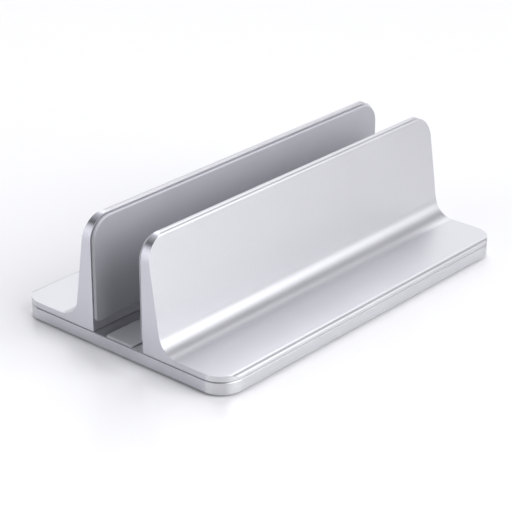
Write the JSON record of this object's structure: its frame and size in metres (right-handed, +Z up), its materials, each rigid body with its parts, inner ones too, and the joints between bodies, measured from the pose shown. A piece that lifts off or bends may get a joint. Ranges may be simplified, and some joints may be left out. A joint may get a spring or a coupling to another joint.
{
  "type": "vertical laptop stand",
  "caption": "Aluminium stand that holds a closed laptop upright on its edge between padded uprights, which slide on a base plate to suit its thickness.",
  "frame": {"origin": "centre of the footprint on the desk, at the underside of the feet", "axes": "+X along the laptop slot, +Y across it towards the rear upright, +Z up"},
  "size_m": [0.17, 0.1066, 0.053],
  "materials": {
    "plate_aluminium": "bead-blasted and anodised silver",
    "upright_aluminium": "bead-blasted and anodised silver, milled ends",
    "grey_silicone": "matt moulded silicone",
    "foot_rubber": "matt",
    "screw_steel": "zinc plated",
    "washer_steel": "zinc plated"
  },
  "bodies": {
    "base": {"base_plate": "plate_aluminium", "channel_pad": "grey_silicone", "front_left_foot": "foot_rubber", "front_right_foot": "foot_rubber", "rear_left_foot": "foot_rubber", "rear_right_foot": "foot_rubber"},
    "front": {"front_upright": "upright_aluminium", "front_pad": "grey_silicone", "front_left_screw": "screw_steel", "front_left_washer": "washer_steel", "front_right_screw": "screw_steel", "front_right_washer": "washer_steel"},
    "rear": {"rear_upright": "upright_aluminium", "rear_pad": "grey_silicone", "rear_left_screw": "screw_steel", "rear_left_washer": "washer_steel", "rear_right_screw": "screw_steel", "rear_right_washer": "washer_steel"}
  },
  "joints": [
    {"name": "front_slide", "type": "slide", "parent": "base", "child": "front", "axis": [0, 1, 0], "range_m": [0, 0.0054]},
    {"name": "rear_slide", "type": "slide", "parent": "base", "child": "rear", "axis": [0, -1, 0], "range_m": [0, 0.0054]}
  ]
}
